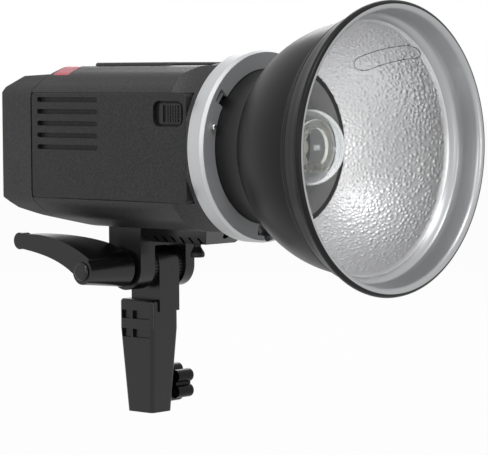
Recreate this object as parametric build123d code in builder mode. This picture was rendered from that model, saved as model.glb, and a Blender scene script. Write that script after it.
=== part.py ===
from build123d import *
from math import cos, radians, sin
import os

# Battery monolight strobe with a seven inch reflector on a tilting stand bracket.
# Millimetres. Origin: centre of the stand socket's mouth. +Z is up, the flash fires towards -Y,
# and the battery sits on the -X side.

# ---- driving sizes -------------------------------------------------------------------------
head_axis_z = 182.0        # height of the lamp's axis above the socket mouth
tilt_y = -3.5              # tilt axis, parallel to X
tilt_z = 99.5
running_gap = 0.05         # radial clearance of a shaft in its own bore
joint_gap = 0.3            # clearance between parts that move past each other
panel_gap = 0.15           # clearance round a panel set in an opening

# head
body_half_width = 60.0
body_top = 52.8            # above the lamp's axis
body_bottom = 54.5         # below the lamp's axis
wall = 2.5
shoulder_round = 16.0      # rounding of the head's long edges
rear_corner = 5.0          # bevel of the rear cover's upright edges
rear_y = 84.0              # back face of the rear cover
seam_y = 50.5              # parting between housing and rear cover
seam_gap = 0.4
mount_face_y = -109.7      # front face of the bayonet plate

# bayonet mount
ring_radius = 62.5
ring_length = 12.5
ring_inner_radius = 58.6
ring_bevel = 1.3
plate_thickness = 2.5
plate_radius = 60.9
mouth_radius = 50.7
notch_radius = 58.0
notch_angles = (24.0, 144.0, 264.0)
notch_half_angle = 4.6
bulkhead_thickness = 2.7

# reflector
reflector_depth = 106.6    # from the bayonet plate's face to the rim
rim_radius = 92.5
lip_inner_radius = 87.0
bowl_radius = 79.3
bowl_depth = 62.0
bowl_start_depth = 24.0    # where the curved bowl begins, behind the rim
sheet = 1.3
collar_radius = 50.2
collar_wall = 1.4
tab_radius = 57.0
tab_half_angle = 4.0
tab_thickness = 2.4
tab_offset_angle = -28.0   # turn from the notches to the locked place

# lamp
dome_radius = 26.0
dome_wall = 2.0
dome_height = 57.0         # from the bayonet plate's face to the tip of the glass
lamp_base_radius = 38.0
tube_ring_radius = 15.0
tube_radius = 3.2

# battery
battery_depth = 29.0
battery_front_y = -93.1
battery_rear_y = 50.2
battery_low_z = 147.0
battery_high_z = 217.0
battery_face_thickness = 5.0
bay_gap = 0.3
bay_wall = 2.2
cell_radius = 9.2
cell_length = 65.0

# stand bracket
grip_half_x = 12.5
grip_half_y = 15.7
grip_foot_half_x = 9.6
grip_foot_half_y = 11.7
grip_taper_z = 57.0
grip_top_z = 77.0
tongue_low_x = -6.5
tongue_radius = 13.4
cheek_radius = 15.0
cheek_outer_x = 26.0
near_cheek_inner_x = 12.5
far_cheek_inner_x = 17.5
tilt_bolt_radius = 5.0
socket_radius = 8.1
socket_depth = 42.0
knob_z = 17.0
screw_radius = 4.0          # stand screw
umbrella_radius = 4.1
umbrella_axis_z = 124.6
shaft_groove = 0.8         # room round the umbrella shaft where it passes the housing
bracket_top_z = head_axis_z - body_bottom
bracket_low_z = 117.0
bracket_front_y = -78.0
bracket_half = 25.0

# ---- places worked out from them -----------------------------------------------------------
rim_y = mount_face_y - reflector_depth
plate_back_y = mount_face_y + plate_thickness
ring_front_y = mount_face_y + 0.3
ring_rear_y = ring_front_y + ring_length
bulkhead_back_y = ring_rear_y - 0.2
bulkhead_front_y = bulkhead_back_y - bulkhead_thickness
tab_front_y = plate_back_y + 0.1
battery_outer_x = -body_half_width
battery_inner_x = battery_outer_x + battery_depth
bay_floor_x = battery_inner_x + bay_gap
bay_back_x = bay_floor_x + bay_wall
inner_wall_x = body_half_width - wall
lamp_axis = Axis((0, 0, head_axis_z), (0, 1, 0))
axis_plane = Plane(origin=(0, 0, head_axis_z), x_dir=(1, 0, 0), z_dir=(0, 0, 1))

os.makedirs("parts", exist_ok=True)


def save(built, label):
    """Label a finished piece and write its STEP file."""
    built.part.label = label
    export_step(built.part, f"parts/{label}.step")


def block(x, y, z, mode=Mode.ADD):
    """Box between two limits along each axis."""
    with Locations(((x[0] + x[1]) / 2, (y[0] + y[1]) / 2, (z[0] + z[1]) / 2)):
        Box(x[1] - x[0], y[1] - y[0], z[1] - z[0], mode=mode)


def rod_x(radius, x, y, z, mode=Mode.ADD):
    """Cylinder along X between two limits."""
    with Locations(((x[0] + x[1]) / 2, y, z)):
        Cylinder(radius, x[1] - x[0], rotation=(0, 90, 0), mode=mode)


def rod_y(radius, y, x, z, mode=Mode.ADD):
    """Cylinder along Y between two limits."""
    with Locations((x, (y[0] + y[1]) / 2, z)):
        Cylinder(radius, y[1] - y[0], rotation=(90, 0, 0), mode=mode)


def rod_z(radius, z, x, y, mode=Mode.ADD):
    """Cylinder along Z between two limits."""
    with Locations((x, y, (z[0] + z[1]) / 2)):
        Cylinder(radius, z[1] - z[0], mode=mode)


def on_mount(radius, angle):
    """Point (x, z) at a radius and angle about the lamp's axis, seen from the front."""
    return radius * cos(radians(angle)), head_axis_z + radius * sin(radians(angle))


def sector(inner, outer, start, end, y, mode=Mode.ADD):
    """Part of a ring about the lamp's axis, between two angles and two places along Y."""
    middle = (start + end) / 2
    low_in, mid_in, high_in = [
        (inner * cos(radians(angle)), inner * sin(radians(angle))) for angle in (start, middle, end)
    ]
    low_out, mid_out, high_out = [
        (outer * cos(radians(angle)), outer * sin(radians(angle))) for angle in (start, middle, end)
    ]
    with BuildSketch(Plane(origin=(0, y[0], head_axis_z), x_dir=(1, 0, 0), z_dir=(0, -1, 0))) as arc_face:
        with BuildLine():
            Line(low_in, low_out)
            ThreePointArc(low_out, mid_out, high_out)
            Line(high_out, high_in)
            ThreePointArc(high_in, mid_in, low_in)
        make_face()
    extrude(arc_face.sketch, amount=-(y[1] - y[0]), mode=mode)


def head_form(inset, front_y, back_y):
    """Outer form of the head, or that form pulled in on every side by an inset."""
    half = body_half_width
    outline = [
        (half, 36), (50, 47.6), (38, body_top), (-38, body_top), (-50, 47.6), (-half, 36),
        (-half, -36), (-50, -47.5), (-36, -body_bottom), (36, -body_bottom), (50, -47.5), (half, -36),
    ]
    top = head_axis_z + body_top
    low = head_axis_z - body_bottom
    side = [
        (front_y, top + 8), (39, top + 8), (39, top), (42, 229.5), (66, 228.4), (78, 221), (back_y, 210),
        (back_y, 151), (81, 147), (70, 139), (52, 134.5), (33, 131), (14, low), (front_y, low - 8),
    ]
    with BuildPart() as form:
        with BuildSketch(Plane.XZ.offset(-front_y)) as section:
            with Locations((0, head_axis_z)):
                with BuildLine():
                    Polyline(*[(x, z + head_axis_z) for x, z in outline], close=True)
                make_face()
            fillet(section.vertices(), shoulder_round)
            if inset:
                offset(amount=-inset)
        extrude(amount=-(back_y - inset - front_y))
        with BuildSketch(Plane.YZ) as profile:
            with BuildLine():
                Polyline(*side, close=True)
            make_face()
            if inset:
                offset(amount=-inset)
        extrude(amount=half + 5, both=True, mode=Mode.INTERSECT)
        with BuildSketch(Plane.XY.offset(low - 10)):
            with BuildLine():
                Polyline(
                    (-half, front_y), (half, front_y), (half, back_y - rear_corner),
                    (half - rear_corner, back_y), (rear_corner - half, back_y), (-half, back_y - rear_corner),
                    close=True,
                )
            make_face()
            if inset:
                offset(amount=-inset)
                with Locations((0, front_y + inset)):
                    Rectangle(2 * (half - inset), 2 * inset)
        extrude(amount=top - low + 30, mode=Mode.INTERSECT)
        with BuildSketch(axis_plane):
            with BuildLine():
                Line((0, front_y), (ring_radius - 0.7 - inset, front_y))
                ThreePointArc(
                    (ring_radius - 0.7 - inset, front_y), (68 - inset, -82), (90 - inset, -62)
                )
                Line((90 - inset, -62), (90 - inset, rear_y + 5))
                Line((90 - inset, rear_y + 5), (0, rear_y + 5))
                Line((0, rear_y + 5), (0, front_y))
            make_face()
        revolve(axis=lamp_axis, mode=Mode.INTERSECT)
        with BuildSketch(axis_plane):
            with BuildLine():
                Line((0, front_y), (ring_radius - 0.7 - inset, front_y))
                ThreePointArc(
                    (ring_radius - 0.7 - inset, front_y), (56.2 - inset, -80), (52 - inset, -56)
                )
                Line((52 - inset, -56), (0, -56))
                Line((0, -56), (0, front_y))
            make_face()
        revolve(axis=lamp_axis)
    return form.part


def front_side(shift):
    """Everything in front of the parting line between housing and rear cover."""
    edge = [
        (-130, 250), (42 + shift, 250), (42 + shift, 230), (seam_y + shift, 219),
        (seam_y + shift, 145), (42 + shift, 134), (42 + shift, 100), (-130, 100),
    ]
    with BuildPart() as region:
        with BuildSketch(Plane.YZ):
            with BuildLine():
                Polyline(*edge, close=True)
            make_face()
        extrude(amount=body_half_width + 10, both=True)
    return region.part


outer_form = head_form(0, ring_rear_y, rear_y)
inner_form = head_form(wall, ring_rear_y + wall, rear_y)
window_form = head_form(2.0, ring_rear_y, rear_y)
front_region = front_side(0)
front_region_gap = front_side(seam_gap)

# ---- head: housing and covers --------------------------------------------------------------
bay_y = (battery_front_y - bay_gap, seam_y + 1)
bay_z = (battery_low_z - bay_gap, battery_high_z + bay_gap)
window_y = (24.0, 39.0)
window_z = head_axis_z + 46.8
top_cover_y = (-58.0, 17.0)
top_cover_half = 36.0
vent_centre_y = 0.0
spine_half = 9.0
spine_top_z = 131.5

with BuildPart() as bay_tub:
    add(outer_form)
    block(
        (-body_half_width - 5, bay_back_x),
        (bay_y[0] - bay_wall, seam_y),
        (bay_z[0] - bay_wall, bay_z[1] + bay_wall),
        Mode.INTERSECT,
    )
    add(front_region, mode=Mode.INTERSECT)

with BuildPart() as spine_pocket:
    add(outer_form)
    block((-spine_half - 4, spine_half + 4), (ring_rear_y, 41), (100, spine_top_z + 3), Mode.INTERSECT)

with BuildPart() as main_housing:
    add(outer_form)
    add(inner_form, mode=Mode.SUBTRACT)
    add(front_region, mode=Mode.INTERSECT)
    rod_y(40, (ring_rear_y - 1, ring_rear_y + wall + 1), 0, head_axis_z, Mode.SUBTRACT)
    add(bay_tub.part)
    add(spine_pocket.part)
    block((-body_half_width - 9, bay_floor_x), bay_y, bay_z, Mode.SUBTRACT)
    block(
        (-spine_half - panel_gap, spine_half + panel_gap),
        (bracket_front_y + 2 - panel_gap, tilt_y + cheek_radius + panel_gap),
        (100, spine_top_z + panel_gap),
        Mode.SUBTRACT,
    )
    block(
        (-bracket_half - panel_gap, bracket_half + panel_gap),
        (bracket_front_y - panel_gap, tilt_y + cheek_radius),
        (100, bracket_top_z),
        Mode.SUBTRACT,
    )
    rod_y(umbrella_radius + shaft_groove, (-120, 60), 0, umbrella_axis_z, Mode.SUBTRACT)
    block(
        (-70, 70),
        (window_y[0] - panel_gap, window_y[1] + panel_gap),
        (window_z - panel_gap, 260),
        Mode.SUBTRACT,
    )
    with Locations(Plane(origin=(body_half_width, vent_centre_y, head_axis_z), z_dir=(1, 0, 0))):
        with GridLocations(0, 7.0, 1, 8):
            Box(54, 3.0, 12, mode=Mode.SUBTRACT)
save(main_housing, "main_housing")

with BuildPart() as sensor_window:
    add(outer_form)
    add(window_form, mode=Mode.SUBTRACT)
    block((-70, 70), window_y, (window_z, 260), Mode.INTERSECT)
save(sensor_window, "sensor_window")

with BuildPart() as top_cover:
    cover_z = head_axis_z + body_top
    block((-top_cover_half, top_cover_half), top_cover_y, (cover_z, cover_z + 2.2))
    fillet(top_cover.edges().filter_by(Axis.Z), 8)
    fillet(top_cover.faces().sort_by(Axis.Z)[-1].edges(), 1.5)
    with BuildSketch(axis_plane):
        with BuildLine():
            Line((0, ring_rear_y), (ring_radius, ring_rear_y))
            ThreePointArc(
                (ring_radius, ring_rear_y), (56.2 + 0.3, -80), (52 + 0.3, -56)
            )
            Line((52.3, -56), (0, -56))
            Line((0, -56), (0, ring_rear_y))
        make_face()
    revolve(axis=lamp_axis, mode=Mode.SUBTRACT)
save(top_cover, "top_cover")

# rear cover and its controls
screen_half_x = 30.0
screen_z = (183.0, 207.0)
button_z = 173.0
button_xs = (-24.0, -8.0, 8.0, 24.0)
button_half_x = 5.0
button_half_z = 2.6
dial_z = 159.5
dial_radius = 8.5
set_radius = 4.0
test_x = 26.0
test_radius = 3.6
rocker_x = -43.0
rocker_half_x = 5.5
rocker_half_z = 8.5
rocker_z = 194.0
flap_x = 44.0
flap_half_x = 6.0
flap_half_z = 15.0
flap_z = 186.0
rear_inner_y = rear_y - wall
key_gap = 0.25

with BuildPart() as rear_cover:
    add(outer_form)
    add(inner_form, mode=Mode.SUBTRACT)
    add(front_region_gap, mode=Mode.SUBTRACT)
    block(
        (-screen_half_x, screen_half_x), (rear_inner_y - 1, rear_y - 1.6), screen_z, Mode.SUBTRACT
    )
    block(
        (-screen_half_x - 2, screen_half_x + 2),
        (rear_y - 1.6, rear_y + 1),
        (screen_z[0] - 2, screen_z[1] + 1),
        Mode.SUBTRACT,
    )
    for key_x in button_xs:
        block(
            (key_x - button_half_x - key_gap, key_x + button_half_x + key_gap),
            (rear_inner_y - 1, rear_y + 1),
            (button_z - button_half_z - key_gap, button_z + button_half_z + key_gap),
            Mode.SUBTRACT,
        )
    rod_y(set_radius + 2.4, (rear_inner_y - 1, rear_y + 1), 0, dial_z, Mode.SUBTRACT)
    rod_y(test_radius + key_gap, (rear_inner_y - 1, rear_y + 1), test_x, dial_z, Mode.SUBTRACT)
    block(
        (rocker_x - rocker_half_x - key_gap, rocker_x + rocker_half_x + key_gap),
        (rear_inner_y - 1, rear_y + 1),
        (rocker_z - rocker_half_z - key_gap, rocker_z + rocker_half_z + key_gap),
        Mode.SUBTRACT,
    )
    block(
        (flap_x - flap_half_x, flap_x + flap_half_x),
        (rear_inner_y - 1, rear_y + 1),
        (flap_z - flap_half_z + 1, flap_z + flap_half_z),
        Mode.SUBTRACT,
    )
save(rear_cover, "rear_cover")

with BuildPart() as screen_window:
    block(
        (-screen_half_x - 2 + panel_gap, screen_half_x + 2 - panel_gap),
        (rear_y - 1.6, rear_y),
        (screen_z[0] - 2 + panel_gap, screen_z[1] + 1 - panel_gap),
    )
    fillet(screen_window.faces().sort_by(Axis.Y)[-1].edges(), 0.4)
save(screen_window, "screen_window")

with BuildPart() as screen_module:
    block(
        (-screen_half_x + 0.4, screen_half_x - 0.4),
        (rear_inner_y - 3.0, rear_y - 1.8),
        (screen_z[0] + 0.4, screen_z[1] - 0.4),
    )
save(screen_module, "screen_module")

control_board_y = (rear_inner_y - 7.0, rear_inner_y - 5.4)
with BuildPart() as control_board:
    block((-34, 34), control_board_y, (153, 204))
    block((-28, 28), (control_board_y[1], rear_inner_y - 3.2), (185, 204))
save(control_board, "control_board")

key_travel = 0.8
with BuildPart() as dial_boss:
    rod_y(set_radius + 2.2, (control_board_y[1] + 0.1, rear_y + 1.0), 0, dial_z)
    rod_y(set_radius + running_gap, (rear_inner_y, rear_y + 2), 0, dial_z, Mode.SUBTRACT)
    rod_y(1.0, (control_board_y[1], rear_inner_y + 1), 0, dial_z, Mode.SUBTRACT)
save(dial_boss, "dial_encoder")

with BuildPart() as dial:
    rod_y(dial_radius, (rear_y + 0.3, rear_y + 7.0), 0, dial_z)
    fillet(dial.faces().sort_by(Axis.Y)[-1].edges(), 1.0)
    rod_y(set_radius + 2.2 + running_gap, (rear_y, rear_y + 1.3), 0, dial_z, Mode.SUBTRACT)
    rod_y(set_radius + 0.3, (rear_y, rear_y + 8), 0, dial_z, Mode.SUBTRACT)
    with Locations(Plane(origin=(0, rear_y + 4.2, dial_z), z_dir=(0, 1, 0))):
        with PolarLocations(dial_radius, 30):
            Cylinder(0.35, 4.6, mode=Mode.SUBTRACT)
save(dial, "dial")

with BuildPart() as set_button:
    rod_y(set_radius, (rear_y - 0.5, rear_y + 6.6), 0, dial_z)
    fillet(set_button.faces().sort_by(Axis.Y)[-1].edges(), 0.6)
save(set_button, "set_button")

for index, key_x in enumerate(button_xs):
    with BuildPart() as key:
        block(
            (key_x - button_half_x, key_x + button_half_x),
            (rear_inner_y - 0.6, rear_y + 1.2),
            (button_z - button_half_z, button_z + button_half_z),
        )
        fillet(key.edges().filter_by(Axis.Y), 1.2)
        fillet(key.faces().sort_by(Axis.Y)[-1].edges(), 0.4)
        block(
            (key_x - 1.5, key_x + 1.5),
            (control_board_y[1] + key_travel + 0.1, rear_inner_y - 0.6),
            (button_z - 1.5, button_z + 1.5),
        )
    save(key, f"menu_button_{index + 1}")

with BuildPart() as test_button:
    rod_y(test_radius, (rear_inner_y - 0.6, rear_y + 1.2), test_x, dial_z)
    fillet(test_button.faces().sort_by(Axis.Y)[-1].edges(), 0.5)
    rod_y(1.5, (control_board_y[1] + key_travel + 0.1, rear_inner_y - 0.6), test_x, dial_z)
save(test_button, "test_button")

rocker_axis_y = rear_y - 3.0
with BuildPart() as power_rocker:
    block(
        (rocker_x - rocker_half_x, rocker_x + rocker_half_x),
        (rocker_axis_y - 1.0, rear_y + 0.9),
        (rocker_z - rocker_half_z + 0.9, rocker_z + rocker_half_z - 0.9),
    )
    fillet(power_rocker.faces().sort_by(Axis.Y)[-1].edges().filter_by(Axis.X), 0.6)
    rod_x(1.6, (rocker_x - rocker_half_x, rocker_x + rocker_half_x), rocker_axis_y - 1, rocker_z)
    rod_x(0.95, (rocker_x - rocker_half_x - 1.4, rocker_x + rocker_half_x + 1.4), rocker_axis_y - 1, rocker_z)
save(power_rocker, "power_rocker")

with BuildPart() as rocker_frame:
    frame_y = (rocker_axis_y - 8.0, rear_inner_y - 0.1)
    block(
        (rocker_x - rocker_half_x - 2.4, rocker_x + rocker_half_x + 2.4),
        frame_y,
        (rocker_z - rocker_half_z - 2, rocker_z + rocker_half_z + 2),
    )
    block(
        (rocker_x - rocker_half_x - key_gap, rocker_x + rocker_half_x + key_gap),
        (frame_y[0] + 1.6, frame_y[1] + 1),
        (rocker_z - rocker_half_z - key_gap, rocker_z + rocker_half_z + key_gap),
        Mode.SUBTRACT,
    )
    rod_x(
        1.0,
        (rocker_x - rocker_half_x - 1.6, rocker_x + rocker_half_x + 1.6),
        rocker_axis_y - 1,
        rocker_z,
        Mode.SUBTRACT,
    )
save(rocker_frame, "rocker_frame")

with BuildPart() as port_block:
    port_y = (rear_inner_y - 14.0, rear_y - 2.0)
    block(
        (flap_x - flap_half_x + panel_gap, flap_x + flap_half_x - panel_gap),
        port_y,
        (flap_z - flap_half_z + 1.2, flap_z + flap_half_z - 0.2),
    )
    rod_y(1.8, (rear_inner_y - 10, rear_y), flap_x, flap_z + 8, Mode.SUBTRACT)
    block(
        (flap_x - 4.2, flap_x + 4.2), (rear_inner_y - 8, rear_y), (flap_z - 4, flap_z - 1), Mode.SUBTRACT
    )
save(port_block, "port_block")

flap_hinge_x = flap_x + flap_half_x
with BuildPart() as port_flap:
    block(
        (flap_x - flap_half_x - 1.5, flap_hinge_x + 0.4),
        (rear_y + 0.3, rear_y + 1.7),
        (flap_z - flap_half_z - 1, flap_z + flap_half_z + 1),
    )
    fillet(port_flap.edges().filter_by(Axis.Y).group_by(Axis.X)[0], 3)
    rod_z(0.9, (flap_z - flap_half_z - 1, flap_z + flap_half_z + 1), flap_hinge_x + 0.6, rear_y + 1.25)
save(port_flap, "port_flap")

# ---- head: what it holds inside ------------------------------------------------------------
board_x = (bay_back_x + joint_gap, bay_back_x + joint_gap + 1.6)
capacitor_radius = 15.0
capacitor_x = board_x[1] + joint_gap + capacitor_radius

with BuildPart() as main_board:
    block(board_x, (-70, 36), (150, 214))
save(main_board, "main_board")

with BuildPart() as flash_capacitors:
    for capacitor_z in (head_axis_z - 32, head_axis_z, head_axis_z + 32):
        rod_y(capacitor_radius, (-62, 14), capacitor_x, capacitor_z)
    fillet(flash_capacitors.edges().filter_by(GeomType.CIRCLE), 1.2)
save(flash_capacitors, "flash_capacitors")

fan_half = 30.0
fan_depth = 14.0
fan_bore = 27.5
fan_x = (inner_wall_x - joint_gap - fan_depth, inner_wall_x - joint_gap)
fan_pin_radius = 1.5
with BuildPart() as fan_frame:
    block(fan_x, (-fan_half, fan_half), (head_axis_z - fan_half, head_axis_z + fan_half))
    fillet(fan_frame.edges().filter_by(Axis.X), 3)
    rod_x(fan_bore, (fan_x[0] - 1, fan_x[1] + 1), 0, head_axis_z, Mode.SUBTRACT)
    block((fan_x[0], fan_x[0] + 2), (-2, 2), (head_axis_z - fan_half + 1, head_axis_z + fan_half - 1))
    block((fan_x[0], fan_x[0] + 2), (-fan_half + 1, fan_half - 1), (head_axis_z - 2, head_axis_z + 2))
    rod_x(9.0, (fan_x[0], fan_x[0] + 2), 0, head_axis_z)
    rod_x(fan_pin_radius, (fan_x[0], fan_x[0] + 10), 0, head_axis_z)
save(fan_frame, "fan_frame")

with BuildPart() as fan_rotor:
    rod_x(10.0, (fan_x[0] + 2.4, fan_x[1] - 1.5), 0, head_axis_z)
    with Locations(Plane(origin=(fan_x[0] + 7.4, 0, head_axis_z), x_dir=(0, 1, 0), z_dir=(1, 0, 0))):
        with PolarLocations(17.5, 7):
            Box(17.0, 1.4, 10.5, rotation=(35, 0, 0))
    rod_x(fan_pin_radius + running_gap, (fan_x[0] + 1, fan_x[0] + 10.4), 0, head_axis_z, Mode.SUBTRACT)
save(fan_rotor, "fan_rotor")

with BuildPart() as heat_sink:
    sink_x = (fan_x[0] - joint_gap - 12.0, fan_x[0] - joint_gap)
    block(sink_x, (-26, 26), (head_axis_z - 26, head_axis_z + 26))
    with Locations((sink_x[1], 0, head_axis_z)):
        with GridLocations(0, 5.2, 1, 10):
            Box(18.0, 3.4, 60, rotation=(0, 0, 0), mode=Mode.SUBTRACT)
save(heat_sink, "heat_sink")

with BuildPart() as inverter_board:
    block((sink_x[0] - joint_gap - 1.6, sink_x[0] - joint_gap), (-34, 30), (150, 214))
save(inverter_board, "inverter_board")

with BuildPart() as inductors:
    coil_x = sink_x[0] - joint_gap - 1.6
    for coil_z in (165.0, 199.0):
        rod_x(8.0, (coil_x - 11, coil_x - 0.2), 0, coil_z)
        rod_x(4.0, (coil_x - 12, coil_x), 0, coil_z, Mode.SUBTRACT)
save(inductors, "inductors")

# ---- battery pack --------------------------------------------------------------------------
face_back_x = battery_outer_x + battery_face_thickness
battery_y = (battery_front_y, battery_rear_y)
battery_z = (battery_low_z, battery_high_z)
groove_length = 57.6
groove_height = 3.2
groove_depth = 3.4
groove_y = 15.7
groove_pitch = 7.9
groove_top_z = 212.6
latch_travel = 4.5
pocket_y = (-90.8, -64.2)
pocket_z = (195.8, 212.2)
pocket_depth = 3.6
latch_y = (-88.8, -69.4)
latch_z = (197.4, 210.6)
battery_centre_y = sum(battery_y) / 2
battery_centre_z = sum(battery_z) / 2

with BuildPart() as battery_face:
    block((battery_outer_x, face_back_x), battery_y, battery_z)
    fillet(battery_face.edges().filter_by(Axis.X), 2.5)
    chamfer(battery_face.faces().sort_by(Axis.X)[0].edges(), 0.5)
    with BuildSketch(Plane.YZ.offset(battery_outer_x)):
        for row in range(5):
            with Locations((groove_y, groove_top_z - row * groove_pitch)):
                SlotOverall(groove_length, groove_height)
    extrude(amount=groove_depth, mode=Mode.SUBTRACT)
    with BuildSketch(Plane.YZ.offset(battery_outer_x)):
        with Locations((sum(pocket_y) / 2, sum(pocket_z) / 2)):
            RectangleRounded(pocket_y[1] - pocket_y[0], pocket_z[1] - pocket_z[0], 5.0)
    extrude(amount=pocket_depth, mode=Mode.SUBTRACT)
    with BuildSketch(Plane.YZ.offset(face_back_x)):
        with Locations((battery_centre_y, battery_centre_z)):
            Rectangle(battery_y[1] - battery_y[0] - 6, battery_z[1] - battery_z[0] - 6)
    extrude(amount=-0.8, mode=Mode.SUBTRACT)
save(battery_face, "battery_face")

with BuildPart() as battery_tray:
    block((face_back_x, battery_inner_x), battery_y, battery_z)
    fillet(battery_tray.edges().filter_by(Axis.X), 2.5)
    block(
        (face_back_x - 1, battery_inner_x - 2.2),
        (battery_y[0] + 2.2, battery_y[1] - 2.2),
        (battery_z[0] + 2.2, battery_z[1] - 2.2),
        Mode.SUBTRACT,
    )
save(battery_tray, "battery_tray")

cell_x = battery_inner_x - 2.2 - joint_gap - cell_radius
with BuildPart() as battery_cells:
    for cell_y in (battery_centre_y - cell_length / 2 - 0.4, battery_centre_y + cell_length / 2 + 0.4):
        for cell_row in (-1, 0, 1):
            rod_y(
                cell_radius,
                (cell_y - cell_length / 2, cell_y + cell_length / 2),
                cell_x,
                battery_centre_z + cell_row * (2 * cell_radius + 0.6),
            )
save(battery_cells, "battery_cells")

with BuildPart() as battery_latch:
    latch_x = (battery_outer_x + pocket_depth - 3.0, battery_outer_x + pocket_depth - 0.05)
    block(latch_x, latch_y, latch_z)
    fillet(battery_latch.edges().filter_by(Axis.X), 2.0)
    with Locations((latch_x[0] - 0.5, 0, sum(latch_z) / 2)):
        with Locations((0, latch_y[1] - 3.6, 0)):
            Box(1.4, 1.6, 11.0)
        with Locations(Plane(origin=(0.2, latch_y[0] + 7.4, 0), z_dir=(1, 0, 0))):
            with GridLocations(2.2, 2.2, 5, 5):
                Box(1.3, 1.3, 1.4)
save(battery_latch, "battery_latch")

with BuildPart() as battery_contacts:
    for contact_z in (172.0, 178.0, 186.0, 192.0):
        block((battery_inner_x, battery_inner_x + 0.25), (-60, -52), (contact_z - 1.6, contact_z + 1.6))
save(battery_contacts, "battery_contacts")

# ---- bayonet mount -------------------------------------------------------------------------
lock_angle = 165.5
lock_radius = 55.0
lock_pin_radius = 1.9
lock_travel = 3.0
passage_radius = umbrella_radius + 0.3
carrier_y = (tab_front_y + tab_thickness + 0.2, tab_front_y + tab_thickness + 1.4)

with BuildPart() as mount_ring:
    with BuildSketch(axis_plane):
        with BuildLine():
            Polyline(
                (ring_inner_radius, ring_rear_y), (ring_radius, ring_rear_y),
                (ring_radius, ring_front_y + 2.6), (ring_radius - ring_bevel, ring_front_y),
                (plate_radius + 0.1, ring_front_y), (plate_radius + 0.1, plate_back_y),
                (ring_inner_radius, plate_back_y), close=True,
            )
        make_face()
    revolve(axis=lamp_axis)
    rod_y(passage_radius, (-120, -90), 0, umbrella_axis_z, Mode.SUBTRACT)
    block(
        (50, 70), (carrier_y[0] - 0.4, carrier_y[1] + lock_travel + 0.4), (head_axis_z - 6.4, head_axis_z + 6.4),
        Mode.SUBTRACT,
    )
save(mount_ring, "mount_ring")

with BuildPart() as mount_plate:
    rod_y(plate_radius, (mount_face_y, plate_back_y), 0, head_axis_z)
    rod_y(mouth_radius, (mount_face_y - 1, plate_back_y + 1), 0, head_axis_z, Mode.SUBTRACT)
    for angle in notch_angles:
        sector(
            mouth_radius - 3, notch_radius, angle - notch_half_angle, angle + notch_half_angle,
            (mount_face_y - 1, plate_back_y + 1), Mode.SUBTRACT,
        )
    pin_x, pin_z = on_mount(lock_radius, lock_angle)
    rod_y(lock_pin_radius + running_gap, (mount_face_y - 1, plate_back_y + 1), pin_x, pin_z, Mode.SUBTRACT)
    rod_y(passage_radius, (-120, -90), 0, umbrella_axis_z, Mode.SUBTRACT)
save(mount_plate, "mount_plate")

with BuildPart() as front_bulkhead:
    rod_y(ring_inner_radius - joint_gap, (bulkhead_front_y, bulkhead_back_y), 0, head_axis_z)
    rod_y(9.0, (bulkhead_front_y - 1, bulkhead_back_y + 1), 0, head_axis_z, Mode.SUBTRACT)
    rod_y(passage_radius + 0.4, (-120, -90), 0, umbrella_axis_z, Mode.SUBTRACT)
save(front_bulkhead, "front_bulkhead")

with BuildPart() as case_screws:
    for screw_x in (-49.0, 49.0):
        for screw_z in (160.5, 206.5):
            rod_y(2.3, (rear_y, rear_y + 0.9), screw_x, screw_z)
            with Locations((screw_x, rear_y + 0.9, screw_z)):
                Box(2.8, 1.0, 0.6, mode=Mode.SUBTRACT)
    for angle in (60.0, 180.0, 300.0):
        screw_x, screw_z = on_mount(46.0, angle)
        rod_y(3.0, (bulkhead_front_y - 2.2, bulkhead_front_y), screw_x, screw_z)
        rod_y(1.3, (bulkhead_front_y - 3, bulkhead_front_y - 1), screw_x, screw_z, Mode.SUBTRACT)
save(case_screws, "case_screws")

with BuildPart() as lock_pin:
    rod_y(lock_pin_radius, (mount_face_y - lock_travel, carrier_y[0]), pin_x, pin_z)
    chamfer(lock_pin.faces().sort_by(Axis.Y)[0].edges(), 0.5)
save(lock_pin, "lock_pin")

with BuildPart() as lock_carrier:
    sector(52.6, ring_inner_radius - 0.4, -6.0, 170.0, carrier_y)
save(lock_carrier, "lock_carrier")

with BuildPart() as release_tab:
    block((57.0, 66.5), carrier_y, (head_axis_z - 5, head_axis_z + 5), Mode.ADD)
    block((63.0, 66.5), (carrier_y[0], carrier_y[1] + 1.6), (head_axis_z - 5, head_axis_z + 5))
    rod_y(ring_inner_radius - 0.3, (carrier_y[0] - 1, carrier_y[1] + 1), 0, head_axis_z, Mode.SUBTRACT)
    fillet(release_tab.edges().filter_by(Axis.X).group_by(Axis.Y)[-1], 0.6)
save(release_tab, "release_tab")

# ---- lamp ----------------------------------------------------------------------------------
base_front_y = bulkhead_front_y - 8.0
tube_y = mount_face_y - 40.0
sphere_y = mount_face_y - (dome_height - dome_radius)
foot_y = base_front_y + 2.0

with BuildPart() as lamp_base:
    rod_y(lamp_base_radius, (base_front_y, bulkhead_front_y), 0, head_axis_z)
    fillet(lamp_base.faces().sort_by(Axis.Y)[0].edges(), 1.5)
    rod_y(dome_radius + 0.2, (base_front_y - 1, foot_y), 0, head_axis_z, Mode.SUBTRACT)
save(lamp_base, "lamp_base")

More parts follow.
